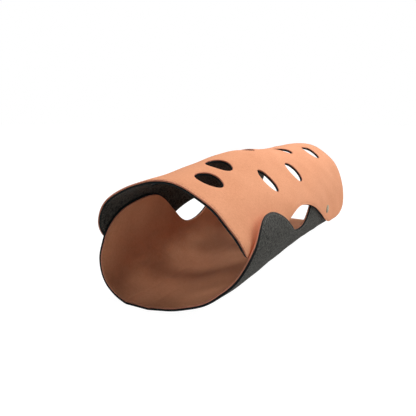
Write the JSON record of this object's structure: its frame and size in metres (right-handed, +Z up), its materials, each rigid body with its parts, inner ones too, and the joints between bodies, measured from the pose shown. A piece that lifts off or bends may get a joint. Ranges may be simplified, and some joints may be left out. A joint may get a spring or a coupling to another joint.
{
  "type": "cat tunnel",
  "caption": "Felt cat tunnel of two curved sheets whose side lobes lap over each other, with round peep holes in the roof, side windows and press studs.",
  "frame": {"origin": "on the ground under the middle of the tunnel's box", "axes": "+Y along the tunnel from its front mouth to its rear mouth, +Z up, +X to the right seen from the front mouth"},
  "size_m": [0.2614, 0.64, 0.2145],
  "materials": {
    "orange_felt": "matt needled felt",
    "grey_felt": "matt needled felt, flecked",
    "orange_thread": "matt thread",
    "grey_thread": "matt thread",
    "snap_brass": "antique brass"
  },
  "bodies": {
    "tunnel": {"floor_sheet_grey_felt": "grey_felt", "floor_sheet_orange_felt": "orange_felt", "roof_sheet_orange_felt": "orange_felt", "roof_sheet_grey_felt": "grey_felt", "floor_front_seam_thread": "orange_thread", "floor_rear_seam_thread": "orange_thread", "roof_front_seam_thread": "orange_thread", "roof_rear_seam_thread": "orange_thread", "rear_right_snap_stud": "snap_brass", "rear_right_snap_post": "snap_brass", "rear_left_snap_stud": "snap_brass", "rear_left_snap_post": "snap_brass"},
    "front_right_flap": {"front_right_flap_grey_felt": "grey_felt", "front_right_flap_orange_felt": "orange_felt", "front_right_flap_seam_thread": "grey_thread"},
    "front_left_flap": {"front_left_flap_grey_felt": "grey_felt", "front_left_flap_orange_felt": "orange_felt", "front_left_flap_seam_thread": "orange_thread"},
    "rear_right_tab": {"rear_right_tab_grey_felt": "grey_felt", "rear_right_tab_orange_felt": "orange_felt", "rear_right_tab_seam_thread": "orange_thread", "rear_right_snap_cap": "snap_brass", "rear_right_snap_socket": "snap_brass"},
    "rear_left_tab": {"rear_left_tab_grey_felt": "grey_felt", "rear_left_tab_orange_felt": "orange_felt", "rear_left_tab_seam_thread": "grey_thread", "rear_left_snap_cap": "snap_brass", "rear_left_snap_socket": "snap_brass"}
  },
  "joints": [
    {"name": "front_right_flap_fold", "type": "hinge", "parent": "tunnel", "child": "front_right_flap", "pos_m": [0.11723, -0.19149, 0.07836], "axis": [-0.0456, 0.9989, -0.0071], "range_deg": [-5, 60], "stiffness_Nm_per_rad": 0.3},
    {"name": "front_left_flap_fold", "type": "hinge", "parent": "tunnel", "child": "front_left_flap", "pos_m": [-0.12064, -0.19263, 0.11346], "axis": [0.007, 0.9999, 0.0118], "range_deg": [0, 60], "stiffness_Nm_per_rad": 0.3},
    {"name": "rear_right_tab_fold", "type": "hinge", "parent": "tunnel", "child": "rear_right_tab", "pos_m": [0.10618, 0.15159, 0.11832], "axis": [0.0146, -0.9999, 0.0022], "range_deg": [0, 60], "stiffness_Nm_per_rad": 0.3},
    {"name": "rear_left_tab_fold", "type": "hinge", "parent": "tunnel", "child": "rear_left_tab", "pos_m": [-0.12956, 0.14681, 0.06851], "axis": [0.0176, -0.9998, -0.0056], "range_deg": [0, 60], "stiffness_Nm_per_rad": 0.3}
  ]
}
